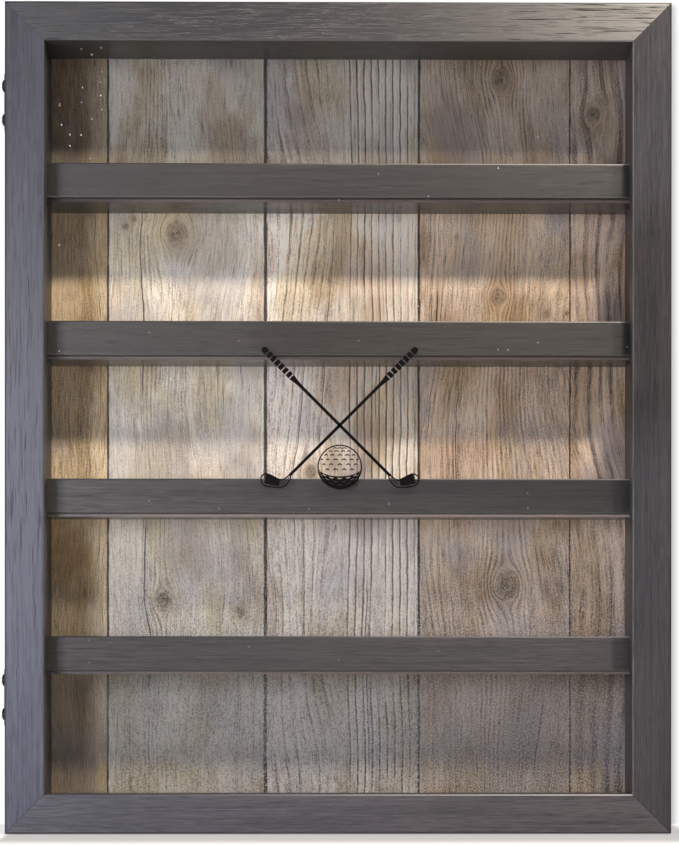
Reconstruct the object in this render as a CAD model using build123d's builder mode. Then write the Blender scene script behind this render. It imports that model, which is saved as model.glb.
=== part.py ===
"""A wall-hung display case for five rows of golf balls, in millimetres.

Four mitred boards hold a thin back panel in a groove and four shelves in housings. Each shelf
carries a lip that keeps its balls in. A deep mitred door frame holds a clear pane in a rabbet at
its rear. The door hangs on two small butt hinges screwed to the left side, and two magnets in the
right side hold it shut.

Frame: +Z is up, the door faces -Y and +X is to the right. The origin is the centre of the case's
underside.
"""
import math
import os

from build123d import *

os.makedirs("parts", exist_ok=True)

# ---- Driving dimensions --------------------------------------------------------------------------

# Boards of the case
case_width = 304.8
case_height = 381.0
case_depth = 56.0
board_thick = 15.5
board_edge_round = 0.6

# Back panel, let into a groove round the inside of the boards
back_panel_thick = 3.0
back_groove_depth = 4.0
back_groove_inset = 4.0
back_groove_slack = 0.1
back_panel_clearance = 0.3

# Shelves, their ends housed in the sides
shelf_count = 4
shelf_thick = 6.0
top_row_clear = 67.6
bottom_row_clear = 57.4
housing_depth = 3.0
housing_slack = 0.1
shelf_end_clearance = 0.2

# Lips, glued to the shelves' front edges
lip_height = 15.9
lip_thick = 4.0
lip_rise = 1.7
lip_setback = 1.2
lip_edge_round = 0.7
lip_end_clearance = 0.15

# Door frame
door_gap = 0.8
door_end_clearance = 0.4
door_thick = 18.0
door_face_width = 18.0
door_outer_round = 1.0
door_inner_round = 0.8
rabbet_width = 6.0
rabbet_depth = 3.5

# Pane, and the steel points that keep it in the rabbet
pane_thick = 2.0
pane_clearance = 0.5
point_length = 9.0
point_width = 6.0
point_thick = 0.5
point_bite = 4.5
points_across = 2
points_along = 3
point_end_distance = 45.0

# V-shaped nails pressed into the rear of each mitre
corner_nail_reach = 6.0
corner_nail_thick = 0.6
corner_nail_depth = 8.0
corner_nail_setback = 4.5

# Butt hinges, lying flat on the left side
hinge_length = 25.4
hinge_leaf_width = 13.0
hinge_leaf_thick = 0.7
hinge_barrel_radius = 1.5
hinge_pin_radius = 0.8
hinge_pin_clearance = 0.05
hinge_knuckle_count = 3
hinge_knuckle_gap = 0.15
hinge_barrel_clearance = 0.3
hinge_top_drop = 45.7
hinge_bottom_rise = 62.7
hinge_screw_spacing = 15.6
hinge_screw_edge = 3.6

# Pan-headed hinge screws
pan_head_radius = 2.72
pan_head_height = 1.5
pan_head_crown = 0.8
pan_screw_shank_radius = 1.2
pan_screw_length = 9.0

# Countersunk screws of the hanger plates
flat_head_radius = 2.3
flat_head_angle = 90.0
flat_screw_shank_radius = 1.15
flat_screw_length = 10.0

# Magnets, a pair in the case and a pair in the door
magnet_radius = 4.0
magnet_thick = 4.0
magnet_proud = 0.25
catch_end_distance = 70.0

# Keyhole hanger plates, let into the rear edges of the sides
hanger_plate_width = 11.0
hanger_plate_length = 38.0
hanger_plate_thick = 1.3
hanger_drop = 60.0
keyhole_entry_radius = 4.2
keyhole_slot_width = 4.6
keyhole_travel = 11.0
keyhole_pocket_reach = 4.6
keyhole_pocket_depth = 2.5
hanger_screw_spacing = 30.0

# Screw shanks are prisms that stand in for their threads
screw_shank_sides = 8

# Slack round anything driven or let into wood or metal
fit_clearance = 0.03

# ---- Sizes and places that follow ----------------------------------------------------------------

inner_width = case_width - 2 * board_thick
inner_height = case_height - 2 * board_thick
case_front = -case_depth / 2
case_rear = case_depth / 2
middle_z = case_height / 2

back_groove_width = back_panel_thick + 2 * back_groove_slack
back_panel_front = case_rear - back_groove_inset - back_groove_slack - back_panel_thick

lip_front = case_front + lip_setback
shelf_front = lip_front + lip_thick
shelf_depth = back_panel_front - shelf_front
shelf_length = inner_width + 2 * (housing_depth - shelf_end_clearance)
shelf_run = inner_height - bottom_row_clear - top_row_clear - shelf_thick
shelf_pitch = shelf_run / (shelf_count - 1)
top_shelf_z = case_height - board_thick - top_row_clear - shelf_thick
shelf_undersides = {
    number: top_shelf_z - (number - 1) * shelf_pitch for number in range(1, shelf_count + 1)
}

door_width = case_width
door_height = case_height - 2 * door_end_clearance
door_back = case_front - door_gap
door_front = door_back - door_thick
sight_edge = door_face_width - rabbet_width
pane_width = door_width - 2 * (sight_edge + pane_clearance)
pane_height = door_height - 2 * (sight_edge + pane_clearance)
pane_front = door_back - rabbet_depth
pane_back = pane_front + pane_thick

hinge_axis_x = -case_width / 2 - hinge_leaf_thick / 2
hinge_axis_y = case_front - door_gap / 2
hinge_relief_radius = hinge_barrel_radius + hinge_barrel_clearance
hinge_relief_length = hinge_length + 2 * hinge_barrel_clearance
hinge_screw_offset = hinge_leaf_width - hinge_screw_edge
knuckle_pitch = hinge_length / hinge_knuckle_count
hinge_centres = {
    "top": case_height - hinge_top_drop,
    "bottom": hinge_bottom_rise,
}

pan_screw_hole_radius = pan_screw_shank_radius + fit_clearance
flat_screw_hole_radius = flat_screw_shank_radius + fit_clearance
flat_head_seat_radius = flat_head_radius + fit_clearance
flat_head_slope = math.tan(math.radians(flat_head_angle / 2))
flat_head_depth = (flat_head_radius - flat_screw_shank_radius) / flat_head_slope

catch_x = door_width / 2 - sight_edge / 2
catch_heights = (catch_end_distance, case_height - catch_end_distance)
hanger_z = case_height - hanger_drop
hanger_places = {"left": -case_width / 2 + board_thick / 2, "right": case_width / 2 - board_thick / 2}

SIDES = ("left", "right", "bottom", "top")
INWARD = {"left": (1, 0, 0), "right": (-1, 0, 0), "bottom": (0, 0, 1), "top": (0, 0, -1)}
ALONG = {"left": (0, 0, 1), "right": (0, 0, -1), "bottom": (-1, 0, 0), "top": (1, 0, 0)}
CASE_BOARDS = {
    "left": "case_left_side",
    "right": "case_right_side",
    "bottom": "case_bottom_board",
    "top": "case_top_board",
}
DOOR_MEMBERS = {
    "left": "door_left_stile",
    "right": "door_right_stile",
    "bottom": "door_bottom_rail",
    "top": "door_top_rail",
}

# ---- Planes --------------------------------------------------------------------------------------


def span_of(side, width, height):
    """Length of one side of a frame, outside the mitres."""
    return height if side in ("left", "right") else width


def side_plane(side, width, height, front):
    """The plane across one side of a frame.

    Local x runs inward from the side's outer edge, and local y to the rear.
    """
    inward = Vector(*INWARD[side])
    reach = width / 2 if side in ("left", "right") else height / 2
    outer_edge = Vector(0, front, middle_z) - inward * reach
    return Plane(origin=outer_edge, x_dir=inward, z_dir=ALONG[side])


def mitre_planes(side, width, height, front):
    """The two planes that cut one side of a frame at 45 degrees, normals pointing off its ends."""
    across = side_plane(side, width, height, front)
    half_span = span_of(side, width, height) / 2
    return [
        Plane(
            origin=across.origin + across.z_dir * (end * half_span),
            z_dir=across.x_dir + across.z_dir * end,
        )
        for end in (-1, 1)
    ]


def spread(count, span, end_distance):
    """Even places along a span centred on zero, the outer ones end_distance from its ends."""
    reach = span / 2 - end_distance
    return [reach * (2 * index / (count - 1) - 1) for index in range(count)]


def corner_planes(width, height, rear):
    """A plane on the rear of each corner of a frame: local x runs inward along the mitre."""
    planes = []
    for across in (-1, 1):
        for up in (-1, 1):
            corner = Vector(across * width / 2, rear, middle_z + up * height / 2)
            inward = Vector(-across, 0, -up).normalized()
            fold = corner + inward * corner_nail_setback
            planes.append(Plane(origin=fold, x_dir=inward, z_dir=(0, 1, 0)))
    return planes


def point_planes(side):
    """A plane at each pane point of one side, on the rabbet's wall and the pane's rear face.

    Local x runs inward over the pane, and the normal points to the rear.
    """
    across = side_plane(side, door_width, door_height, door_front)
    count = points_along if side in ("left", "right") else points_across
    places = spread(count, span_of(side, door_width, door_height), point_end_distance)
    wall = across.origin + across.x_dir * sight_edge + across.y_dir * (pane_back - door_front)
    return [
        Plane(origin=wall + across.z_dir * place, x_dir=across.x_dir, z_dir=across.y_dir)
        for place in places
    ]


def hinge_screw_planes(direction):
    """A plane on the leaf's face at each hinge screw: direction is -1 on the door, +1 on the case."""
    leaf_face = hinge_axis_x - hinge_leaf_thick / 2
    screw_y = hinge_axis_y + direction * hinge_screw_offset
    return [
        Plane(
            origin=(leaf_face, screw_y, centre + up * hinge_screw_spacing / 2),
            x_dir=(0, 1, 0),
            z_dir=(-1, 0, 0),
        )
        for centre in hinge_centres.values()
        for up in (-1, 1)
    ]


def hanger_plane(side):
    """The plane of one hanger plate's rear face, local y upward."""
    return Plane(origin=(hanger_places[side], case_rear, hanger_z), x_dir=(-1, 0, 0), z_dir=(0, 1, 0))


def hanger_screw_planes(side):
    """A plane at each of one hanger plate's two screws."""
    plate = hanger_plane(side)
    return [
        Plane(
            origin=plate.origin + plate.y_dir * (up * hanger_screw_spacing / 2),
            x_dir=plate.x_dir,
            z_dir=plate.z_dir,
        )
        for up in (-1, 1)
    ]


def catch_planes(y, facing):
    """A plane at each magnet's pole: facing is -1 towards the front and +1 to the rear."""
    return [Plane(origin=(catch_x, y, z), x_dir=(1, 0, 0), z_dir=(0, facing, 0)) for z in catch_heights]


hinge_middles = [(hinge_axis_x, hinge_axis_y, centre) for centre in hinge_centres.values()]
case_corners = corner_planes(case_width, case_height, case_rear)
door_corners = corner_planes(door_width, door_height, door_back)

# ---- Sections and outlines -----------------------------------------------------------------------

# Case board: outer face at x = 0 and front edge at y = 0, with the back panel's groove on the inside
with BuildSketch() as board_section:
    Rectangle(board_thick, case_depth, align=(Align.MIN, Align.MIN))
    fillet(board_section.vertices().group_by(Axis.X)[0], board_edge_round)
    with Locations((board_thick, case_depth - back_groove_inset)):
        Rectangle(
            2 * back_groove_depth,
            back_groove_width,
            align=(Align.CENTER, Align.MAX),
            mode=Mode.SUBTRACT,
        )

# Door member: the same way round, with the pane's rabbet at its inner rear corner
with BuildSketch() as door_section:
    Rectangle(door_face_width, door_thick, align=(Align.MIN, Align.MIN))
    fillet(door_section.vertices().group_by(Axis.X)[0], door_outer_round)
    fillet(door_section.vertices().group_by(Axis.X)[-1].sort_by(Axis.Y)[0], door_inner_round)
    with Locations((door_face_width, door_thick)):
        Rectangle(2 * rabbet_width, 2 * rabbet_depth, mode=Mode.SUBTRACT)

# Lip: its front face at x = 0 and its lower edge at y = 0
with BuildSketch() as lip_section:
    Rectangle(lip_thick, lip_height, align=(Align.MIN, Align.MIN))
    fillet(lip_section.vertices().group_by(Axis.X)[0], lip_edge_round)
    fillet(lip_section.vertices().group_by(Axis.X)[-1].sort_by(Axis.Y)[-1], lip_edge_round)

# V nail seen from its end: its fold lies at the origin, and it has a wing in each member
nail_tip = corner_nail_reach / math.sqrt(2)
nail_bevel = corner_nail_thick / math.sqrt(2)
with BuildSketch() as nail_outline:
    with BuildLine():
        Polyline(
            (-2 * nail_bevel, 0),
            (nail_tip - nail_bevel, nail_tip + nail_bevel),
            (nail_tip, nail_tip),
            (0, 0),
            (nail_tip, -nail_tip),
            (nail_tip - nail_bevel, -nail_tip - nail_bevel),
            close=True,
        )
    make_face()

# The slit a V nail is pressed into
with BuildSketch() as nail_slit:
    add(nail_outline.sketch)
    offset(amount=fit_clearance, kind=Kind.INTERSECTION)

# ---- Case boards ---------------------------------------------------------------------------------

for side, name in CASE_BOARDS.items():
    with BuildPart() as case_board:
        with BuildSketch(side_plane(side, case_width, case_height, case_front)):
            add(board_section.sketch)
        extrude(amount=span_of(side, case_width, case_height) / 2, both=True)
        for mitre in mitre_planes(side, case_width, case_height, case_front):
            split(bisect_by=mitre, keep=Keep.BOTTOM)
        # Slits for the V nails
        for corner in case_corners:
            with BuildSketch(corner):
                add(nail_slit.sketch)
            extrude(amount=-corner_nail_depth - fit_clearance, mode=Mode.SUBTRACT)
        if side in ("left", "right"):
            # Housings for the shelves' ends, open to the back panel's groove
            inner_face = Vector(*INWARD[side]).X * -inner_width / 2
            with BuildSketch(Plane.XZ.offset(-shelf_front)):
                with Locations(*[(inner_face, z + shelf_thick / 2) for z in shelf_undersides.values()]):
                    Rectangle(2 * housing_depth, shelf_thick + 2 * housing_slack)
            extrude(amount=-shelf_depth - back_groove_slack, mode=Mode.SUBTRACT)
            # Recess for the hanger plate, the pocket behind its keyhole, and its screw holes
            with BuildSketch(hanger_plane(side)):
                Rectangle(hanger_plate_width + 2 * fit_clearance, hanger_plate_length + 2 * fit_clearance)
            extrude(amount=-hanger_plate_thick, mode=Mode.SUBTRACT)
            with BuildSketch(hanger_plane(side)):
                Rectangle(2 * keyhole_pocket_reach, keyhole_travel + 2 * keyhole_pocket_reach)
            extrude(amount=-hanger_plate_thick - keyhole_pocket_depth, mode=Mode.SUBTRACT)
            with BuildSketch(*hanger_screw_planes(side)):
                RegularPolygon(flat_screw_hole_radius, screw_shank_sides)
            extrude(amount=-flat_screw_length - fit_clearance, mode=Mode.SUBTRACT)
        if side == "left":
            # Hollows for the hinge barrels, and the hinge screws' holes
            with Locations(*hinge_middles):
                Cylinder(hinge_relief_radius, hinge_relief_length, mode=Mode.SUBTRACT)
            with BuildSketch(*hinge_screw_planes(1)):
                RegularPolygon(pan_screw_hole_radius, screw_shank_sides)
            extrude(amount=-pan_screw_length - fit_clearance, mode=Mode.SUBTRACT)
        if side == "right":
            with Locations(*catch_planes(case_front, -1)):
                Hole(magnet_radius + fit_clearance, depth=magnet_thick - magnet_proud + fit_clearance)
    case_board.part.label = name
    export_step(case_board.part, f"parts/{name}.step")

# ---- Back panel ----------------------------------------------------------------------------------

with BuildPart() as back_panel:
    with BuildSketch(Plane.XZ.offset(-back_panel_front)):
        with Locations((0, middle_z)):
            Rectangle(
                inner_width + 2 * (back_groove_depth - back_panel_clearance),
                inner_height + 2 * (back_groove_depth - back_panel_clearance),
            )
    extrude(amount=-back_panel_thick)
back_panel.part.label = "back_panel"
export_step(back_panel.part, "parts/back_panel.step")

# ---- Shelves and lips, numbered from the top -----------------------------------------------------

for number, underside in shelf_undersides.items():
    with BuildPart() as shelf:
        with BuildSketch(Plane.XY.offset(underside)):
            with Locations((0, shelf_front)):
                Rectangle(shelf_length, shelf_depth, align=(Align.CENTER, Align.MIN))
        extrude(amount=shelf_thick)
    shelf.part.label = f"shelf_{number}"
    export_step(shelf.part, f"parts/shelf_{number}.step")

    with BuildPart() as shelf_lip:
        with BuildSketch(Plane.YZ.shift_origin((0, lip_front, underside + lip_rise))):
            add(lip_section.sketch)
        extrude(amount=inner_width / 2 - lip_end_clearance, both=True)
    shelf_lip.part.label = f"shelf_lip_{number}"
    export_step(shelf_lip.part, f"parts/shelf_lip_{number}.step")

# ---- Door frame ----------------------------------------------------------------------------------

for side, name in DOOR_MEMBERS.items():
    with BuildPart() as door_member:
        with BuildSketch(side_plane(side, door_width, door_height, door_front)):
            add(door_section.sketch)
        extrude(amount=span_of(side, door_width, door_height) / 2, both=True)
        for mitre in mitre_planes(side, door_width, door_height, door_front):
            split(bisect_by=mitre, keep=Keep.BOTTOM)
        for corner in door_corners:
            with BuildSketch(corner):
                add(nail_slit.sketch)
            extrude(amount=-corner_nail_depth - fit_clearance, mode=Mode.SUBTRACT)
        # Slits for the pane's points
        for point in point_planes(side):
            with BuildSketch(point.offset(-fit_clearance)):
                Rectangle(2 * (point_bite + fit_clearance), point_width + 2 * fit_clearance)
            extrude(amount=point_thick + 2 * fit_clearance, mode=Mode.SUBTRACT)
        if side == "left":
            with Locations(*hinge_middles):
                Cylinder(hinge_relief_radius, hinge_relief_length, mode=Mode.SUBTRACT)
            with BuildSketch(*hinge_screw_planes(-1)):
                RegularPolygon(pan_screw_hole_radius, screw_shank_sides)
            extrude(amount=-pan_screw_length - fit_clearance, mode=Mode.SUBTRACT)
        if side == "right":
            with Locations(*catch_planes(door_back, 1)):
                Hole(magnet_radius + fit_clearance, depth=magnet_thick - magnet_proud + fit_clearance)
    door_member.part.label = name
    export_step(door_member.part, f"parts/{name}.step")

# ---- Pane and its points -------------------------------------------------------------------------

with BuildPart() as door_pane:
    with BuildSketch(Plane.XZ.offset(-pane_front)):
        with Locations((0, middle_z)):
            Rectangle(pane_width, pane_height)
    extrude(amount=-pane_thick)
door_pane.part.label = "door_pane"
export_step(door_pane.part, "parts/door_pane.step")

with BuildPart() as pane_points:
    for side in SIDES:
        for point in point_planes(side):
            with BuildSketch(point):
                with Locations((-point_bite, 0)):
                    Rectangle(point_length, point_width, align=(Align.MIN, Align.CENTER))
            extrude(amount=point_thick)
pane_points.part.label = "pane_points"
export_step(pane_points.part, "parts/pane_points.step")

# ---- V nails -------------------------------------------------------------------------------------

with BuildPart() as case_corner_nails:
    with BuildSketch(*case_corners):
        add(nail_outline.sketch)
    extrude(amount=-corner_nail_depth)
case_corner_nails.part.label = "case_corner_nails"
export_step(case_corner_nails.part, "parts/case_corner_nails.step")

with BuildPart() as door_corner_nails:
    with BuildSketch(*door_corners):
        add(nail_outline.sketch)
    extrude(amount=-corner_nail_depth)
door_corner_nails.part.label = "door_corner_nails"
export_step(door_corner_nails.part, "parts/door_corner_nails.step")

# ---- Hinges --------------------------------------------------------------------------------------

# The case leaves have the end knuckles and grip the pin, and the door leaves turn on it.
HINGE_LEAVES = {
    "case": (1, range(0, hinge_knuckle_count, 2), hinge_pin_radius),
    "door": (-1, range(1, hinge_knuckle_count, 2), hinge_pin_radius + hinge_pin_clearance),
}

for place, centre in hinge_centres.items():
    barrel_bottom = centre - hinge_length / 2
    for carrier, (direction, own_knuckles, bore_radius) in HINGE_LEAVES.items():
        with BuildPart() as hinge_leaf:
            with BuildSketch(Plane.YZ.offset(hinge_axis_x)):
                with Locations((hinge_axis_y + direction * hinge_leaf_width / 2, centre)):
                    Rectangle(hinge_leaf_width, hinge_length)
            extrude(amount=hinge_leaf_thick / 2, both=True)
            # Own knuckles are added to the leaf, and room for the other leaf's is cut away
            for number in range(hinge_knuckle_count):
                own = number in own_knuckles
                margin = hinge_knuckle_gap / 2 if own else -hinge_knuckle_gap / 2
                with BuildSketch(Plane.XY.offset(barrel_bottom + number * knuckle_pitch + margin)):
                    with Locations((hinge_axis_x, hinge_axis_y)):
                        Circle(hinge_barrel_radius if own else hinge_relief_radius)
                extrude(amount=knuckle_pitch - 2 * margin, mode=Mode.ADD if own else Mode.SUBTRACT)
            with Locations((hinge_axis_x, hinge_axis_y, centre)):
                Cylinder(bore_radius, hinge_length, mode=Mode.SUBTRACT)
            with Locations(*hinge_screw_planes(direction)):
                Hole(pan_screw_hole_radius, depth=hinge_leaf_thick)
        hinge_leaf.part.label = f"hinge_{carrier}_leaf_{place}"
        export_step(hinge_leaf.part, f"parts/hinge_{carrier}_leaf_{place}.step")

    with BuildPart() as hinge_pin:
        with Locations((hinge_axis_x, hinge_axis_y, centre)):
            Cylinder(hinge_pin_radius, hinge_length)
    hinge_pin.part.label = f"hinge_pin_{place}"
    export_step(hinge_pin.part, f"parts/hinge_pin_{place}.step")

# ---- Screws --------------------------------------------------------------------------------------

# Pan-headed screw, standing on its head's underside
head_wall = pan_head_height - pan_head_crown
crown_radius = (pan_head_radius**2 + pan_head_crown**2) / (2 * pan_head_crown)
with BuildPart() as pan_screw:
    with BuildSketch(Plane.XZ):
        with BuildLine():
            Polyline((0, pan_head_height), (0, 0), (pan_head_radius, 0), (pan_head_radius, head_wall))
            RadiusArc((pan_head_radius, head_wall), (0, pan_head_height), -crown_radius)
        make_face()
    revolve(axis=Axis.Z)
    with BuildSketch(Plane.XY):
        RegularPolygon(pan_screw_shank_radius, screw_shank_sides)
    extrude(amount=-pan_screw_length)

# Countersunk screw, its head flush with the plane it stands on
with BuildPart() as flat_screw:
    with BuildSketch(Plane.XZ):
        with BuildLine():
            Polyline(
                (0, 0),
                (0, -flat_head_depth),
                (flat_screw_shank_radius, -flat_head_depth),
                (flat_head_radius, 0),
                close=True,
            )
        make_face()
    revolve(axis=Axis.Z)
    with BuildSketch(Plane.XY):
        RegularPolygon(flat_screw_shank_radius, screw_shank_sides)
    extrude(amount=-flat_screw_length)

with BuildPart() as hinge_case_screws:
    with Locations(*hinge_screw_planes(1)):
        add(pan_screw.part)
hinge_case_screws.part.label = "hinge_case_screws"
export_step(hinge_case_screws.part, "parts/hinge_case_screws.step")

with BuildPart() as hinge_door_screws:
    with Locations(*hinge_screw_planes(-1)):
        add(pan_screw.part)
hinge_door_screws.part.label = "hinge_door_screws"
export_step(hinge_door_screws.part, "parts/hinge_door_screws.step")

with BuildPart() as hanger_screws:
    with Locations(*hanger_screw_planes("left"), *hanger_screw_planes("right")):
        add(flat_screw.part)
hanger_screws.part.label = "hanger_screws"
export_step(hanger_screws.part, "parts/hanger_screws.step")

# ---- Magnets ---------------------------------------------------------------------------------------

with BuildPart() as case_magnets:
    with Locations(*catch_planes(case_front - magnet_proud, -1)):
        Cylinder(magnet_radius, magnet_thick, align=(Align.CENTER, Align.CENTER, Align.MAX))
case_magnets.part.label = "case_magnets"
export_step(case_magnets.part, "parts/case_magnets.step")

with BuildPart() as door_magnets:
    with Locations(*catch_planes(door_back + magnet_proud, 1)):
        Cylinder(magnet_radius, magnet_thick, align=(Align.CENTER, Align.CENTER, Align.MAX))
door_magnets.part.label = "door_magnets"
export_step(door_magnets.part, "parts/door_magnets.step")

# ---- Hanger plates -------------------------------------------------------------------------------

for side in hanger_places:
    with BuildPart() as hanger_plate:
        with BuildSketch(hanger_plane(side)):
            Rectangle(hanger_plate_width, hanger_plate_length)
            with Locations((0, -keyhole_travel / 2)):
                Circle(keyhole_entry_radius, mode=Mode.SUBTRACT)
            SlotCenterToCenter(keyhole_travel, keyhole_slot_width, rotation=90, mode=Mode.SUBTRACT)
        extrude(amount=-hanger_plate_thick)
        with Locations(*hanger_screw_planes(side)):
            CounterSinkHole(
                flat_screw_hole_radius,
                flat_head_seat_radius,
                hanger_plate_thick,
                flat_head_angle,
            )
    hanger_plate.part.label = f"hanger_plate_{side}"
    export_step(hanger_plate.part, f"parts/hanger_plate_{side}.step")
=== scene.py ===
import math

import bmesh
import bpy
import numpy as np
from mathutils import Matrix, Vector


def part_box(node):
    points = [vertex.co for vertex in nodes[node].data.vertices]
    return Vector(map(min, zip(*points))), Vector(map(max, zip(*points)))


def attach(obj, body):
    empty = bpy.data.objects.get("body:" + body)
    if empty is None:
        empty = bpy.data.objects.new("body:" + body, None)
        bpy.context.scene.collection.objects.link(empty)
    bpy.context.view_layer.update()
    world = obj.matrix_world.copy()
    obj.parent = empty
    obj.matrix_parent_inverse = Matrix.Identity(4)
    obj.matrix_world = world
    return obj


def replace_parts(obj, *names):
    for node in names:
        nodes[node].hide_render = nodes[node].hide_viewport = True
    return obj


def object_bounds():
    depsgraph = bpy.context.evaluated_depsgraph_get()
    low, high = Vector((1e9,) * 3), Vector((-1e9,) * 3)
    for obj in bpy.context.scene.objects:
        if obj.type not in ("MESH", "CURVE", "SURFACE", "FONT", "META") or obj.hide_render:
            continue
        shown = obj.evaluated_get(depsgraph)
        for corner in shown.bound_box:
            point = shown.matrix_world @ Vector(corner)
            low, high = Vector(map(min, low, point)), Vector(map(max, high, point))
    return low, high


# Looks of the golf ball display case: foils, plank print, glazing, hardware, lamps and camera
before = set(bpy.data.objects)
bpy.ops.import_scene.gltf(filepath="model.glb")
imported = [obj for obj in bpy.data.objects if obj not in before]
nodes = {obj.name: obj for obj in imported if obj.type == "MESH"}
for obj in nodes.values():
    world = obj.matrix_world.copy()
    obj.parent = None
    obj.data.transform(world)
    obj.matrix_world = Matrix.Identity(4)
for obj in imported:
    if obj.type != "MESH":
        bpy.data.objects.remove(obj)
cad_low, cad_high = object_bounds()

MM = 0.001


def tint(red, green, blue):
    """A display colour, 0 to 255, as linear light: each share raised to the 2.4th power above a short toe."""
    shares = np.array((red, green, blue)) / 255
    toe = shares / 12.92
    curve = ((shares + 0.055) / 1.055) ** 2.4
    return (*np.where(shares < 0.04045, toe, curve).tolist(), 1.0)


# ---------------------------------------------------------------- finishes

class Amount:
    """A node's output; arithmetic written with it adds math nodes to the same finish."""

    def __init__(self, finish, socket):
        self.finish = finish
        self.socket = socket

    def __add__(self, other):
        return self.finish.math("ADD", self, other)

    def __sub__(self, other):
        return self.finish.math("SUBTRACT", self, other)

    def __rsub__(self, other):
        return self.finish.math("SUBTRACT", other, self)

    def __mul__(self, other):
        return self.finish.math("MULTIPLY", self, other)

    def __truediv__(self, other):
        return self.finish.math("DIVIDE", self, other)

    def __abs__(self):
        return self.finish.math("ABSOLUTE", self)

    __radd__ = __add__
    __rmul__ = __mul__


class Finish:
    """One procedural material; its places are millimetres in the case's own frame."""

    def __init__(self, name):
        self.material = bpy.data.materials.new(name)
        self.material.use_nodes = True
        self.tree = self.material.node_tree
        self.tree.nodes.clear()
        coordinates = self.tree.nodes.new("ShaderNodeTexCoord")
        self.x, self.y, self.z = (part / MM for part in self.split(coordinates.outputs["Object"]))
        self.facing = self.split(coordinates.outputs["Normal"])

    def feed(self, socket, value):
        if isinstance(value, Amount):
            self.tree.links.new(value.socket, socket)
        else:
            socket.default_value = value

    def add(self, kind, **settings):
        node = self.tree.nodes.new(kind)
        for name, value in settings.items():
            setattr(node, name, value)
        return node

    def split(self, socket):
        node = self.add("ShaderNodeSeparateXYZ")
        self.tree.links.new(socket, node.inputs[0])
        return [Amount(self, part) for part in node.outputs]

    def math(self, operation, *values, clamp=False):
        node = self.add("ShaderNodeMath", operation=operation, use_clamp=clamp)
        for socket, value in zip(node.inputs, values):
            self.feed(socket, value)
        return Amount(self, node.outputs[0])

    def rise(self, value, start, end):
        """0 before start, 1 past end, and a smooth step between them; it falls if end is the smaller."""
        node = self.add("ShaderNodeMapRange", interpolation_type="SMOOTHSTEP")
        low, high = sorted((start, end))
        for socket, given in zip(node.inputs, (value, low, high, float(start > end), float(start < end))):
            self.feed(socket, given)
        return Amount(self, node.outputs[0])

    def point(self, x, y, z):
        node = self.add("ShaderNodeCombineXYZ")
        for socket, value in zip(node.inputs, (x, y, z)):
            self.feed(socket, value)
        return Amount(self, node.outputs[0])

    def noise(self, x, y, z, detail=2.0, rough=0.5, swirl=0.0):
        """Smooth noise about 0.5; the places are given in noise cells."""
        node = self.add("ShaderNodeTexNoise")
        inputs = {"Vector": self.point(x, y, z), "Scale": 1.0, "Detail": detail}
        inputs |= {"Roughness": rough, "Distortion": swirl}
        for name, value in inputs.items():
            self.feed(node.inputs[name], value)
        return Amount(self, node.outputs[0])

    def mix(self, share, below, above, blend="MIX"):
        node = self.add("ShaderNodeMix", data_type="RGBA", blend_type=blend)
        for index, value in ((0, share), (6, below), (7, above)):
            self.feed(node.inputs[index], value)
        return Amount(self, node.outputs[2])

    def shade(self, colour, factor):
        """A colour with each channel multiplied by one number."""
        node = self.add("ShaderNodeVectorMath", operation="SCALE")
        self.feed(node.inputs[0], colour if isinstance(colour, Amount) else colour[:3])
        self.feed(node.inputs["Scale"], factor)
        return Amount(self, node.outputs[0])

    def bump(self, height, distance, strength=1.0):
        node = self.add("ShaderNodeBump")
        for name, value in (("Height", height), ("Distance", distance * MM), ("Strength", strength)):
            self.feed(node.inputs[name], value)
        return Amount(self, node.outputs[0])

    def direction(self, x, y, z):
        """A direction that turns with the piece."""
        node = self.add("ShaderNodeVectorTransform", vector_type="VECTOR", convert_from="OBJECT",
                        convert_to="WORLD")
        self.feed(node.inputs[0], (x, y, z))
        return Amount(self, node.outputs[0])

    def surface(self, colour, roughness, normal, metal=0.0, mirror=0.5, **others):
        """Ends the finish with its shader; mirror is how strongly it reflects, 0.5 being plain varnish."""
        shader = self.add("ShaderNodeBsdfPrincipled")
        given = {"Base Color": colour, "Roughness": roughness, "Normal": normal}
        given |= {"Metallic": metal, "Specular IOR Level": mirror} | others
        for name, value in given.items():
            self.feed(shader.inputs[name], value)
        output = self.add("ShaderNodeOutputMaterial")
        self.tree.links.new(shader.outputs[0], output.inputs["Surface"])
        return self.material


def raw_board(finish, foil, fibre_scale=1.0):
    """Foil over the show faces and bare brown fibreboard on the faces that look backwards."""
    back = finish.rise(finish.facing[1], 0.6, 0.9)
    fibre = finish.noise(finish.x * 1.7 * fibre_scale, finish.y, finish.z * 1.7 * fibre_scale, 4)
    fluff = finish.noise(finish.x * 0.15, finish.y, finish.z * 0.15, 3)
    board = finish.mix(fibre * 0.7 + fluff * 0.3, tint(112, 84, 58), tint(176, 143, 106))
    return back, finish.mix(back, foil, board)


# How much darker the foil gets beyond a lip's two ends, where the shade of the case's sides is painted in
RIGHT_END_SHADE, LEFT_END_SHADE = 0.52, 0.36
END_RUN = 3.0


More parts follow.
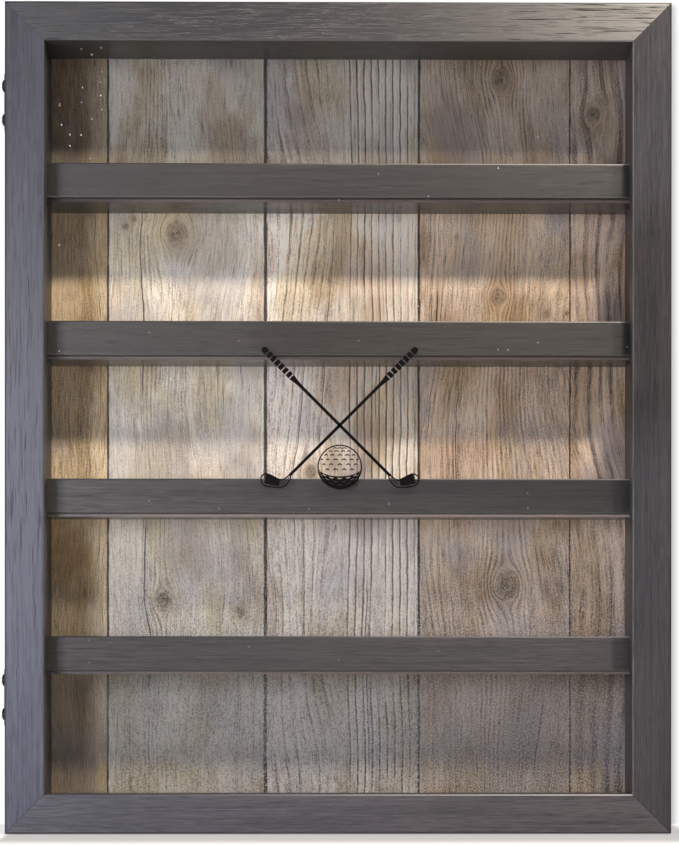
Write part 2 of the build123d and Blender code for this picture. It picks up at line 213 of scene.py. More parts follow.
def charcoal_foil(name, along, seed, pale=1.0, far_pale=None, warm=0.0, cool=0.0, far_cool=None, pores=0.25,
                  polish=0.36, depth=0.05, spread=0.6, mirror=0.5, edges=(), joint=None, front=None, ends=None):
    """Charcoal wood-grained foil. Its grain runs along one axis: cloudy bands, long streaks, short dark
    pores and hair-fine lines, each a noise drawn out along that axis, and its gloss spreads across the
    grain. pale and cool are for the left or upper end, and far_pale and far_cool for the other: pale is
    painted light and shade, and cool a painted blue reflection, which only the face that looks forwards gets.
    edges are the lines where two faces meet, each with its two faces' axes and places and how pale a line it
    gets at its near and at its far end, some wear and mostly a painted highlight. joint draws the dark line
    of the frame's mitres, front is the tint of the narrow front face, lightened as painted light, its share
    left at the left end, where painted shade darkens it, and the height of the painted shade line in it, and
    ends darkens the foil beyond that distance, most at the right, as painted shade."""
    foil = Finish(name)
    places = dict(zip("xyz", (foil.x, foil.y, foil.z)))
    onward = foil.rise(foil.x, -130.0, 120.0) if along == "x" else foil.rise(foil.z, 330.0, 60.0)

    def grain_noise(across, length, detail, offset):
        x, y, z = (place * (length if axis == along else across) for axis, place in places.items())
        return foil.noise(x + seed, y + offset, z + seed * 1.7, detail, 0.6) - 0.5

    def light(blueness):
        return tint(84 - 0.5 * blueness, 79 - warm + 0.3 * blueness, 82 - 4 * warm + 2.2 * blueness)

    cloud = grain_noise(0.10, 0.006, 2, 3.1)
    streak = grain_noise(0.85, 0.012, 2, 7.7)
    fleck = grain_noise(3.2, 0.06, 2, 1.3)
    hair = grain_noise(2.8, 0.09, 2, 5.9)
    pore = foil.rise(fleck + cloud * 0.2, 0.09, 0.16)
    tone = 0.5 + cloud * 0.8 + streak * 0.8 + hair * 1.5 + fleck * 0.6
    # pale and cool paint light, shade and a blue reflection onto the foil, each going from its near to its far
    # value along the grain.
    far_light = light(cool if far_cool is None else far_cool)
    painted_paleness = pale if far_pale is None else pale + onward * (far_pale - pale)
    show_face = foil.rise(foil.facing[1], -0.5, -0.9)
    ground = foil.mix(show_face, light(0.0), foil.mix(onward, light(cool), far_light))
    colour = foil.mix(foil.math("ADD", tone, 0.0, clamp=True), tint(38, 36, 38 + cool), ground)
    colour = foil.shade(colour, painted_paleness)
    colour = foil.mix(pore * pores, colour, tint(20, 19, 20))
    # The narrow front face under a lip: its tint is painted light, it darkens towards the left end as painted
    # shade, and a painted shade line runs along its top, just under the lip.
    if front is not None:
        shade, left_unshaded_share, shade_line_height = front
        line = foil.rise(foil.z, shade_line_height - 0.7, shade_line_height - 0.3) * 0.8
        left = left_unshaded_share + foil.rise(foil.x, -125.0, -75.0) * (1 - left_unshaded_share)
        narrow = foil.shade(foil.mix(line, shade, tint(24, 20, 20)), left)
        colour = foil.mix(show_face, colour, narrow)
    if ends is not None:
        at_right = foil.rise(foil.x, ends, ends + END_RUN) * RIGHT_END_SHADE
        dimmed = at_right + foil.rise(foil.x, -ends, -ends - END_RUN) * LEFT_END_SHADE
        colour = foil.shade(colour, 1.0 - dimmed)
    # Each edge is painted with a pale line, some wear and mostly a painted highlight, its strength going from the
    # near to the far end.
    for (first, here), (second, there), at_near, at_far in edges:
        near = foil.rise(abs(places[first] - here) + abs(places[second] - there), 0.65, 0.3)
        rub = at_near + onward * (at_far - at_near)
        edge_highlight_and_wear = foil.math("ADD", near * (rub + streak * 0.4), 0.0, clamp=True)
        colour = foil.mix(edge_highlight_and_wear, colour, tint(232, 226, 218))
    if joint is not None:
        colour = foil.mix(joint(foil), colour, tint(14, 13, 14))
    back, colour = raw_board(foil, colour)
    relief = foil.bump(streak * 0.4 + hair * 0.5 - pore * 0.7, depth, 0.4)
    gloss = polish + pore * 0.5 + hair * 0.15 + back * 0.4
    sheen_way = foil.direction(*((0, 0.7, 0.7) if along == "x" else (0.7, 0.7, 0)))
    return foil.surface(colour, gloss, relief, mirror=mirror, **{"Anisotropic": spread, "Tangent": sheen_way})


# The door's sight opening, from the pane side of its members
door_low, door_high = (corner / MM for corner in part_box("door_left_stile"))
right_low, right_high = (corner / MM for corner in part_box("door_right_stile"))
DOOR_MIDDLE = ((door_low.x + right_high.x) / 2, (door_low.z + door_high.z) / 2)
DOOR_REACH = (right_high.x - door_low.x) / 2, (door_high.z - door_low.z) / 2
MITRE_LINE = 0.22


def mitre_line(finish):
    """1 within half a line's width of the diagonals through the door's corners, and 0 elsewhere."""
    aside = DOOR_REACH[0] - abs(finish.x - DOOR_MIDDLE[0])
    upright = DOOR_REACH[1] - abs(finish.z - DOOR_MIDDLE[1])
    return finish.rise(abs(aside - upright), MITRE_LINE, MITRE_LINE * 0.4)


# The printed planks: seams across the panel and, for each plank, its pale and dark wood, how far its
# grain wanders and how streaked it is
SEAMS = (-110.0, -34.9, 38.3, 110.5)
SEAM_WIDTHS = (0.42, 0.66, 0.5, 0.3)
STAINING = (1.0, 0.9, 0.4, 0.9, 0.7)
PALE_WOOD = tuple(tint(*light) for light in (
    (226, 202, 166), (244, 233, 214), (249, 237, 223), (226, 203, 181), (230, 204, 182)))
DARK_WOOD = tuple(tint(*dark) for dark in ((92, 70, 50), (136, 114, 98), (116, 94, 78), (88, 68, 57), (92, 70, 60)))
WANDERS = (9.0, 12.0, 20.0, 16.0, 26.0)
STREAKING = (0.8, 0.7, 0.5, 0.9, 0.9)
# Ridged stretches of the print: from, to, pitch, darkness of each furrow and its share of the pitch
RIDGES = (
    (-95.0, -79.0, 1.9, 0.35, 0.3), (-32.0, -3.0, 4.6, 0.4, 0.2), (2.0, 38.0, 3.5, 0.8, 0.2),
    (41.0, 62.0, 2.5, 0.25, 0.4), (66.0, 92.0, 2.05, -0.5, 0.4), (111.0, 140.0, 6.2, 0.5, 0.34),
)

# Knots of the print: across, up, size
KNOTS = (
    (-77.3, 282.3, 4.4), (-101.7, 285.7, 1.3), (-97.8, 289.0, 1.0), (-83.5, 107.2, 3.2), (-46.6, 101.5, 2.0),
    (-13.2, 168.5, 2.6), (77.7, 356.0, 3.4), (76.3, 252.7, 3.0), (99.3, 244.1, 1.2), (108.8, 244.5, 1.0),
    (80.1, 114.4, 4.6), (121.8, 339.7, 2.6),
)
# Cracks of the print, which follow the grain: across, lowest, highest, half width
CRACKS = (
    (-91.1, 60.0, 150.0, 0.28), (-90.5, 200.0, 300.0, 0.22), (-15.5, 130.0, 235.0, 0.16),
    (-11.2, 60.0, 120.0, 0.16), (-6.0, 190.0, 300.0, 0.15), (14.0, 20.0, 120.0, 0.2),
    (44.0, 230.0, 262.0, 0.35), (127.0, 96.0, 112.0, 0.5), (92.0, 20.0, 66.0, 0.25), (60.0, 140.0, 215.0, 0.2),
)


# The print's brightness, and the shade and light painted into it by height and side: all of the top row, the
# bottom row and its foot are darker, with a darker line just above the first lip, the upper parts of the second
# and third rows are paler in stretches, and the left strip from the third row down is paler
PRINT_BRIGHTNESS = 1.16
TOP_ROW_SHADE, LOW_ROW_SHADE, FOOT_SHADE = 0.55, 0.3, 0.1
LEFT_STRIP_LIGHT = 0.26


def plank_print():
    """Five weathered planks printed on the back panel. The grain is a coordinate across the planks that is
    bent by slow noise and pushed aside round each knot as a stream is round a post; furrows, streaks and
    fibres are waves and noises of that coordinate, drawn out along the planks."""
    wood = Finish("plank_print")
    x, z = wood.x, wood.z
    past = [wood.math("GREATER_THAN", x, seam) for seam in SEAMS]

    def by_plank(values):
        total = values[0] + past[0] * (values[1] - values[0])
        for step, before, after in zip(past[1:], values[1:], values[2:]):
            total = total + step * (after - before)
        return total

    def plank_colour(colours):
        mixed = colours[0]
        for step, colour in zip(past, colours[1:]):
            mixed = wood.mix(step, mixed, colour)
        return mixed

    number = by_plank((0.0, 1.0, 2.0, 3.0, 4.0)) * 17.3
    straight = wood.rise(x, -8, 4) * wood.rise(x, 41, 38) * 0.85
    sway = (wood.noise(x * 0.012, z * 0.007, number, 1) - 0.5) * (1.0 - straight)
    ripple = wood.noise(x * 0.05, z * 0.03, number + 5, 2) - 0.5
    tremor = wood.noise(x * 0.25, z * 0.16, number + 8, 1) - 0.5
    grain = x + sway * by_plank(WANDERS) * 2 + ripple * 2.0 + tremor * 0.7

    nearest = None
    wobble = (wood.noise(x * 0.35, z * 0.35, number, 3, 0.6) - 0.5) * 1.2
    for across, up, size in KNOTS:
        aside = x - across
        along = (z - up) * 0.8
        square = aside * aside + along * along + size * size * 0.2
        grain = grain - aside * (size * size * 1.8) / square
        reach = wood.math("SQRT", square) / size
        nearest = reach if nearest is None else wood.math("MINIMUM", nearest, reach)
    nearest = nearest + wobble

    furrows = 0.0
    worn = wood.noise(grain * 0.12, z * 0.02, number, 2)
    for start, end, pitch, darkness, share in RIDGES:
        phase = wood.math("FRACT", grain / pitch) - 0.5
        lit_lip = wood.rise(abs(phase - share * 1.3), share * 0.8, share * 0.15) * 0.5
        line = wood.rise(abs(phase), share * 0.9, share * 0.15) - share * 0.5 - lit_lip
        furrows = line * darkness * wood.rise(x, start, start + 3) * wood.rise(x, end, end - 3) + furrows
    furrows = furrows * wood.rise(worn, 0.3, 0.55)
    bands = wood.noise(grain * 0.16, z * 0.003, number, 2) - 0.5
    streaks = wood.noise(grain * 0.8, z * 0.014, number, 3, 0.65) - 0.5
    fibres = wood.noise(grain * 2.4, z * 0.12, number, 2, 0.6) - 0.5
    speckle = wood.noise(x * 1.5, z * 1.2, number, 2, 0.75) - 0.5
    stain = wood.noise(x * 0.035, z * 0.024, number + 9, 3, 0.6) - 0.5
    tone = 0.76 - furrows + (bands * 0.9 + streaks * 1.3) * by_plank(STREAKING) + fibres * (1.9 - straight * 0.8)
    tone = tone + speckle * (1.5 - straight * 0.8)
    tone = tone + stain * by_plank(STAINING)
    colour = wood.mix(wood.math("ADD", tone, 0.0, clamp=True), plank_colour(DARK_WOOD), plank_colour(PALE_WOOD))

    for seed, start, strength, dye in ((3, 0.5, 0.4, tint(190, 158, 124)), (13, 0.48, 0.5, tint(208, 192, 142))):
        patch = wood.rise(wood.noise(grain * 0.04, z * 0.02, number + seed, 3), start, start + 0.14)
        colour = wood.mix(patch * strength, colour, dye, "MULTIPLY")
    greyed = wood.rise(wood.noise(x * 0.03, z * 0.02, number + 7, 2), 0.5, 0.66)
    colour = wood.mix(greyed * 0.34, colour, tint(156, 152, 164))

    halo = wood.rise(nearest, 3.6, 1.2)
    colour = wood.mix(halo * 0.4, colour, tint(200, 178, 130), "MULTIPLY")
    rings = wood.noise(nearest * 6.5, x * 0.3, z * 0.3, 3, 0.7)
    heart = wood.mix(wood.rise(rings, 0.36, 0.56), tint(58, 43, 34), tint(150, 130, 106))
    colour = wood.mix(wood.rise(nearest, 1.6, 0.8) * 0.75, colour, heart)
    colour = wood.mix(wood.rise(nearest, 0.58, 0.45) * 0.5, colour, tint(52, 39, 31))

    open_grain = None
    for across, low, high, half in CRACKS:
        line = wood.rise(abs(grain - across), half * 1.6, half * 0.5)
        part = line * wood.rise(z, low, low + 12) * wood.rise(z, high, high - 12)
        open_grain = part if open_grain is None else wood.math("MAXIMUM", open_grain, part)
    hair = wood.noise(grain * 0.8, z * 0.011, number + 30, 1)
    hairline = wood.rise(abs(hair - 0.5), 0.016, 0.005) * wood.rise(bands, 0.0, 0.08)
    dark_line = wood.math("MAXIMUM", open_grain, hairline * 0.6)
    for seam, width in zip(SEAMS, SEAM_WIDTHS):
        edge = x - seam + (wood.noise(z * 0.03, seam, 0.0, 3) - 0.5) * 0.9 + fibres * 0.8
        worn_width = width * (0.5 + wood.noise(z * 0.09, seam, 3.0, 2))
        dark_line = wood.math("MAXIMUM", dark_line, wood.rise(abs(edge) / worn_width, 1.7, 0.7))
    colour = wood.mix(dark_line * 0.95, colour, tint(26, 17, 13))

    emboss = wood.noise(x * 1.5, z * 1.3, number + 40, 1)
    gritty = wood.rise(z, 165, 60) * wood.rise(x, -122, -95) * 0.5 + 0.05
    colour = wood.mix(wood.rise(emboss, 0.53, 0.62) * gritty, colour, tint(226, 222, 222))
    colour = wood.mix(wood.rise(emboss, 0.46, 0.36) * gritty * 0.8, colour, tint(62, 54, 52))
    low_grey = wood.rise(z, 78, 66) * wood.rise(z, 24, 34)
    colour = wood.mix(low_grey * 0.3, colour, tint(138, 138, 142))
    # Painted shade: a dark line just above the first lip, all of the top row, the bottom row and its foot.
    top_lip_shade_line = wood.rise(z, 300, 309) * wood.rise(z, 322, 312) * 0.22
    top_dusk = wood.rise(z, 296, 310) * TOP_ROW_SHADE
    dusk = top_dusk + wood.rise(z, 88, 74) * LOW_ROW_SHADE + wood.rise(z, 42, 34) * FOOT_SHADE + top_lip_shade_line
    # Painted light: paler stretches in the upper parts of the second and third rows, a little over the second plank
    # and most over the middle and right planks, and the left plank from the third row down.
    painted_light_stretches = wood.rise(z, 250, 260) * wood.rise(z, 304, 298) + wood.rise(z, 176, 186) * wood.rise(z, 226, 220)
    painted_light_stretches = painted_light_stretches * (wood.rise(x, -118, -90) * 0.1 + wood.rise(x, -40, -30) * 0.22)
    left_strip_painted_light = wood.rise(x, -108, -112) * wood.rise(z, 232, 214) * LEFT_STRIP_LIGHT
    colour = wood.shade(colour, PRINT_BRIGHTNESS - dusk + painted_light_stretches + left_strip_painted_light)
    back, colour = raw_board(wood, colour)
    relief = wood.bump(tone - dark_line * 0.6, 0.08, 0.5)
    return wood.surface(colour, 0.5 + speckle * 0.2 + back * 0.35, relief, mirror=0.22)


SPECK_CELL = 4.6


def clear_pane():
    """Clear acrylic: a faint mirror whose polish is broken by dust haze, over open sight, with a scatter
    of specks. A speck is a small round in a few of the cells of a scattered pattern, most of them in the
    upper left."""
    pane = Finish("clear_pane")
    haze = pane.noise(pane.x * 0.02, pane.y, pane.z * 0.02, 3)
    cells = pane.add("ShaderNodeTexVoronoi", voronoi_dimensions="2D")
    place = pane.point(pane.x / SPECK_CELL, pane.z / SPECK_CELL, 0.0)
    for name, value in (("Vector", place), ("Scale", 1.0)):
        pane.feed(cells.inputs[name], value)
    chance, size, hue = pane.split(cells.outputs["Color"])
    dusty = pane.rise(pane.x, -80, -120) * pane.rise(pane.z, 300, 335) * 0.34 + 0.02
    chosen = pane.math("LESS_THAN", chance, dusty)
    distance = Amount(pane, cells.outputs["Distance"]) / (size * 0.03 + 0.04)
    speck = chosen * pane.rise(distance, 1.0, 0.6)
    tone = pane.mix(pane.rise(hue, 0.84, 0.88), tint(222, 222, 226), tint(216, 140, 90))
    coat = pane.mix(speck, tint(215, 222, 226), tone)
    mirror = pane.add("ShaderNodeBsdfPrincipled")
    polish = pane.math("ADD", haze * 0.1 + speck * 0.6, 0.02)
    for name, value in (("Base Color", coat), ("Roughness", polish)):
        pane.feed(mirror.inputs[name], value)
    open_sight = pane.add("ShaderNodeBsdfTransparent")
    slant = Amount(pane, pane.add("ShaderNodeLayerWeight").outputs["Facing"])
    share = pane.math("ADD", pane.math("POWER", slant, 5.0) * 0.9, speck * 0.8 + 0.006, clamp=True)
    both = pane.add("ShaderNodeMixShader")
    pane.feed(both.inputs[0], share)
    pane.tree.links.new(open_sight.outputs[0], both.inputs[1])
    pane.tree.links.new(mirror.outputs[0], both.inputs[2])
    output = pane.add("ShaderNodeOutputMaterial")
    pane.tree.links.new(both.outputs[0], output.inputs["Surface"])
    return pane.material


def worked_metal(name, dark, light, polish, brush=1.0, wear=0.2, metal=1.0):
    """Metal with brushing or plating mottle, darker in patches, and small bright rubs."""
    metal_finish = Finish(name)
    brushed = metal_finish.noise(metal_finish.x * 3.0, metal_finish.y * 3.0, metal_finish.z * 0.5 * brush, 3)
    patch = metal_finish.noise(metal_finish.x * 0.3, metal_finish.y * 0.3, metal_finish.z * 0.3, 3)
    rub = metal_finish.rise(metal_finish.noise(metal_finish.x, metal_finish.y, metal_finish.z, 4), 0.62, 0.72)
    colour = metal_finish.mix(brushed * 0.6 + patch * 0.4, dark, light)
    colour = metal_finish.mix(rub * wear, colour, tint(200, 196, 188))
    gloss = polish + (patch - 0.5) * 0.2 + (brushed - 0.5) * 0.1
    relief = metal_finish.bump(brushed - 0.5, 0.02, 0.3)
    return metal_finish.surface(colour, gloss, relief, metal)


def printed_ink():
    """Screen-printed black: nearly flat, with the faint mottle of the mesh it was pulled through."""
    ink = Finish("printed_ink")
    mottle = ink.noise(ink.x * 2.5, ink.y, ink.z * 2.5, 3)
    colour = ink.mix(mottle, tint(9, 5, 7), tint(18, 13, 15))
    return ink.surface(colour, 0.55 + (mottle - 0.5) * 0.2, ink.bump(mottle, 0.01, 0.3), mirror=0.1)


def dress(finish, *names):
    for name in names:
        nodes[name].data.materials.clear()
        nodes[name].data.materials.append(finish)


def long_edges(node, axis, sight, outer_highlight_and_wear, sight_highlight_and_wear):
    """A door member's two long front edges, and how pale a line each gets at its left and right end, some wear
    and mostly a painted highlight: where its front meets its outer face and where it meets its sight face."""
    lowest, highest = (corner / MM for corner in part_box(node))
    index = "xyz".index(axis)
    outer = max(lowest[index], highest[index], key=lambda place: abs(place - DOOR_MIDDLE[index // 2]))
    return tuple((("y", lowest.y), (axis, place), *rub)
                 for place, rub in ((outer, outer_highlight_and_wear), (sight, sight_highlight_and_wear)))


def lip_edges(node):
    """A lip's lower and upper front edges, each a pale line of some wear and mostly a painted highlight: the
    lower alike all along, the upper stronger to the right.
    """
    lowest, highest = (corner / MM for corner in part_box(node))
    rubs = (lowest.z, 0.2, 0.16), (highest.z, -0.1, 0.7)
    return tuple((("y", lowest.y), ("z", place), *rub) for place, *rub in rubs)


SIGHT = (-134.4, 134.4, 18.4, 362.6)
# Each member's paleness and blueness from its near to its far end are painted light, shade and reflection: the blue
# of the left stile and of the rails' left ends is a painted reflection of the window lamp, the top rail's warmth
# and paler right end a painted sheen of the key lamp, and the pale sight edges, strongest at the bottom rail's
# right, painted highlights with some wear.
MEMBERS = (
    ("door_left_stile", "z", "x", SIGHT[0], (0.1, 0.1), (0.12, 0.12),
     dict(seed=3.0, pale=0.86, far_pale=1.28, cool=5.5, far_cool=9.0, pores=0.08)),
    ("door_right_stile", "z", "x", SIGHT[1], (0.1, 0.1), (0.3, 0.3),
     dict(seed=41.0, pale=0.94, far_pale=0.72, pores=0.12)),
    ("door_top_rail", "x", "z", SIGHT[3], (0.06, 0.2), (0.12, 0.2),
     dict(seed=23.0, pale=0.34, far_pale=0.78, warm=2.4, cool=6.0, far_cool=0.0, pores=0.9, depth=0.08,
          spread=0.8, mirror=0.95)),
    ("door_bottom_rail", "x", "z", SIGHT[2], (0.05, 0.1), (0.05, 1.3),
     dict(seed=67.0, pale=1.6, far_pale=1.55, cool=3.5, far_cool=-0.5, pores=0.12)),
)
for member, grain_way, side_way, sight, outer_highlight_and_wear, sight_highlight_and_wear, look in MEMBERS:
    edge_highlight_and_wear = long_edges(member, side_way, sight, outer_highlight_and_wear, sight_highlight_and_wear)
    dress(charcoal_foil(member + "_foil", grain_way, edges=edge_highlight_and_wear, joint=mitre_line, **look), member)
dress(charcoal_foil("left_side_foil", "z", 11.0), "case_left_side")
# The right side is painted paler and the boards a little paler: painted light.
dress(charcoal_foil("right_side_foil", "z", 17.0, pale=1.6), "case_right_side")
dress(charcoal_foil("board_foil", "x", 29.0, pale=1.05, warm=1.0, polish=0.3, depth=0.01, mirror=0.3),
      "case_top_board", "case_bottom_board")
# The light and shade of each shelf is painted into its foil, so the four differ though they are one material.
# For each shelf from the top: how pale its lip is at the left and at the right, how pale its underside is and
# how strongly that mirrors, and its front's tint and that tint's share at the left end
SHELF_LOOKS = (
    ((0.65, 0.6), 0.52, 0.34, tint(120, 104, 101), 0.36), ((0.76, 0.7), 1.35, 0.55, tint(134, 118, 112), 0.6),
    ((1.6, 0.86), 1.7, 0.8, tint(160, 142, 134), 0.6), ((1.0, 1.85), 1.1, 0.7, tint(124, 108, 100), 0.5),
)
LIP_ENDS = 125.5
for order, (lip_painted_paleness, painted_paleness, mirror, front, left_unshaded_share) in enumerate(SHELF_LOOKS, 1):
    shelf, lip = f"shelf_{order}", f"shelf_lip_{order}"
    lip_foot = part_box(lip)[0].z / MM
    dress(charcoal_foil(shelf + "_foil", "x", 7.0 + 13 * order, painted_paleness, warm=1.2, polish=0.26, depth=0.004,
                        mirror=mirror, front=(front, left_unshaded_share, lip_foot)), shelf)
    dress(charcoal_foil(lip + "_foil", "x", 9.0 + 17 * order, *lip_painted_paleness, warm=1.6, pores=0.3,
                        edges=lip_edges(lip), ends=LIP_ENDS), lip)
dress(plank_print(), "back_panel")
dress(clear_pane(), "door_pane")
black_metal = worked_metal("black_metal", tint(24, 24, 26), tint(52, 52, 55), 0.42, wear=0.12, metal=0.6)
zinc_steel = worked_metal("zinc_steel", tint(150, 150, 146), tint(205, 204, 198), 0.32, wear=0.1)
nickel_magnet = worked_metal("nickel_magnet", tint(160, 157, 150), tint(214, 211, 203), 0.22, wear=0.05)
nail_steel = worked_metal("nail_steel", tint(110, 110, 112), tint(170, 170, 170), 0.4)
LEVELS = ("top", "bottom")
dress(black_metal, *(f"hinge_{leaf}_leaf_{level}" for leaf in ("case", "door") for level in LEVELS))
dress(zinc_steel, "hinge_pin_top", "hinge_pin_bottom", "hanger_plate_left", "hanger_plate_right")
dress(zinc_steel, "pane_points")
dress(nail_steel, "case_corner_nails", "door_corner_nails")
dress(nickel_magnet, "case_magnets", "door_magnets")


# ---------------------------------------------------------------- screws

def new_piece(name, surfaces, finish, body, smooth=False):
    """One mesh in metres from surfaces, each its points in millimetres and its four-cornered faces,
    riding on a body of the case."""
    starts = np.cumsum([0] + [len(points) for points, _ in surfaces])
    points = np.concatenate([points for points, _ in surfaces]) * MM
    faces = np.concatenate([faces + start for (_, faces), start in zip(surfaces, starts)])
    mesh = bpy.data.meshes.new(name)
    mesh.from_pydata(points.tolist(), [], faces.tolist())
    mesh.materials.append(finish)
    mesh.polygons.foreach_set("use_smooth", [smooth] * len(mesh.polygons))
    mesh.update()
    piece = bpy.data.objects.new(name, mesh)
    bpy.context.scene.collection.objects.link(piece)
    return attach(piece, body)


HEAD_TURNS = 96
SHANK_TURNS = 24
RECESS_HALF, RECESS_SOFT = 0.36, 0.12
THREAD_PITCH, THREAD_SHARE, POINT_LENGTH = 1.0, 0.74, 1.6
PAN_HEAD = dict(radius=2.72, crown=0.8, wall=0.7, reach=1.6, recess=1.0)
FLAT_HEAD = dict(radius=2.3, crown=0.0, wall=0.0, reach=1.25, recess=0.8)


def turned(heights, radii, turns):
    """Rings of points about the screw's axis, one at each height with its radius, and the faces between
    neighbouring rings; heights fall from the head's top. A radius may change round the ring."""
    angle = np.linspace(0, 2 * math.pi, turns, endpoint=False)[None, :]
    heights, radii = (np.broadcast_to(values, (len(values), turns)) for values in (heights, radii))
    points = np.stack([radii * np.cos(angle), radii * np.sin(angle), heights], axis=-1)
    index = np.arange(heights.size).reshape(heights.shape)
    following = np.roll(index, -1, axis=1)
    faces = np.stack([index[:-1], index[1:], following[1:], following[:-1]], axis=-1)
    return points, faces.reshape(-1, 4)


def screw_head(radius, crown, wall, reach, recess):
    """A head over its underside: the crown's height falls with the square of the radius, then comes the rim
    and a flat or conical underside. A cross is sunk where a point lies near either arm's middle line."""
    out = np.linspace(0, 1, 28)[:, None]
    rim = 0.0 if wall else -radius / 2
    heights = np.concatenate([wall + crown * (1 - out ** 2), [[rim], [rim]]])
    radii = np.concatenate([radius * out, [[radius if wall else radius / 2], [0.0]]])
    points, faces = turned(heights, radii, HEAD_TURNS)
    across, up = np.abs(points[:len(out), :, 0]), np.abs(points[:len(out), :, 1])
    in_arm = np.clip((RECESS_HALF - np.minimum(across, up)) / RECESS_SOFT + 0.5, 0, 1)
    in_reach = np.clip((reach - np.maximum(across, up)) / RECESS_SOFT + 0.5, 0, 1)
    points[:len(out), :, 2] -= recess * in_arm * in_reach
    return points.reshape(-1, 3), faces


def screw_shank(radius, length, top):
    """A threaded shank: its radius is a ridge whose height along the shank keeps step with the angle round
    it, one pitch a turn, and it tapers to a point."""
    heights = top - np.linspace(0, length + top, int(8 * length / THREAD_PITCH))[:, None]
    turn = np.linspace(0, 1, SHANK_TURNS, endpoint=False)[None, :]
    ridge = np.abs(2 * ((heights / THREAD_PITCH - turn) % 1) - 1)
    taper = np.clip((heights + length) / POINT_LENGTH, 0, 1)
    radii = radius * (THREAD_SHARE + (1 - THREAD_SHARE) * ridge) * taper
    radii[0] = 0.0
    points, faces = turned(heights, radii, SHANK_TURNS)
    return points.reshape(-1, 3), faces


def screws(node, places, across, up, head, shank_radius, length, finish, body):
    """Screws for one CAD node, each standing on its head's seat with across, up and across x up outward."""
    turn = np.array((across, up, np.cross(across, up)), dtype=float)
    seat = 0.0 if head["wall"] else -head["radius"] / 2
    parts = (screw_head(**head), screw_shank(shank_radius, length, seat))
    surfaces = [(points @ turn + place, faces) for place in places for points, faces in parts]
    piece = new_piece(node + "_threaded", surfaces, finish, body)
    work = bmesh.new()
    work.from_mesh(piece.data)
    bmesh.ops.remove_doubles(work, verts=work.verts, dist=1e-7)
    work.to_mesh(piece.data)
    work.free()
    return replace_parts(piece, node)


PAN_SPACING = 15.6
for carrier, body in (("case", "case"), ("door", "door")):
    node = f"hinge_{carrier}_screws"
    lowest, highest = (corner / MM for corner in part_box(node))
    leaf_face = lowest.x + PAN_HEAD["crown"] + PAN_HEAD["wall"]
    row = (lowest.y + highest.y) / 2
    bottom, top = lowest.z + PAN_HEAD["radius"], highest.z - PAN_HEAD["radius"]
    heights = (bottom, bottom + PAN_SPACING, top - PAN_SPACING, top)
    screws(node, [np.array((leaf_face, row, height)) for height in heights], (0, 1, 0), (0, 0, -1), PAN_HEAD,
           1.1, 8.9, black_metal, body)
lowest, highest = (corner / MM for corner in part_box("hanger_screws"))
inset = FLAT_HEAD["radius"]
screws("hanger_screws",
       [np.array((across, highest.y, height)) for across in (lowest.x + inset, highest.x - inset)
        for height in (lowest.z + inset, highest.z - inset)],
       (-1, 0, 0), (0, 0, 1), FLAT_HEAD, 1.05, 9.9, zinc_steel, "case")


# ---------------------------------------------------------------- printed emblem

pane_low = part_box("door_pane")[0] / MM
INK = 0.06
CROSSING = np.array((0.55, 187.5))
BALL_MIDDLE = np.array((0.55, 168.7))


def ink_film(one_edge, other_edge, closed=False):
    """Films of ink on the pane's front from two edges of each mark, arrays of (marks, points, 2). A flat
    rectangle, with its corners on the two edges and on the film's front and rear, is carried from point to
    point; a closed mark joins its last rectangle to its first, an open one has a face over each end."""
    one, other = (edge.reshape(-1, *edge.shape[-2:]) for edge in (one_edge, other_edge))
    middle = one.shape[1] // 2
    run, reach = one[:, middle] - one[:, middle - 1], other[:, middle] - one[:, middle]
    leftward = (run[:, 0] * reach[:, 1] - run[:, 1] * reach[:, 0] > 0)[:, None, None]
    right, left = np.where(leftward, one, other), np.where(leftward, other, one)
    depths = (pane_low.y - INK, pane_low.y - INK, pane_low.y, pane_low.y)
    corners = [np.insert(edge, 1, depth, axis=-1) for edge, depth in zip((right, left, left, right), depths)]
    points = np.stack(corners, axis=2)
    index = np.arange(points.size // 3).reshape(points.shape[:3])
    following = np.roll(index, -1, axis=1)
    walls = np.stack([index, following, np.roll(following, -1, axis=2), np.roll(index, -1, axis=2)], axis=-1)
    if closed:
        return points.reshape(-1, 3), walls.reshape(-1, 4)
    ends = np.concatenate([index[:, 0], index[:, -1, ::-1]])
    return points.reshape(-1, 3), np.concatenate([walls[:, :-1].reshape(-1, 4), ends])


def across_up(across, up):
    return np.stack(np.broadcast_arrays(across, up), axis=-1)


BALL_RADIUS = 10.3
RING_WIDTH = 0.6
DIMPLE_STEP = math.radians(22.5)
DIMPLE_ROWS = np.radians(-9.2 + 12.9 * np.arange(6))
DIMPLE_WIDTH = 1.2
SHADE_EDGE = 0.424
# Rows of pale dimples in the ball's shaded part: how far down it, shifted or not, their depth and width
SHADE_ROWS = ((0.5, 0.0, 0.65, 0.62), (0.645, 0.5, 0.6, 0.42), (0.785, 0.0, 0.5, 0.3))


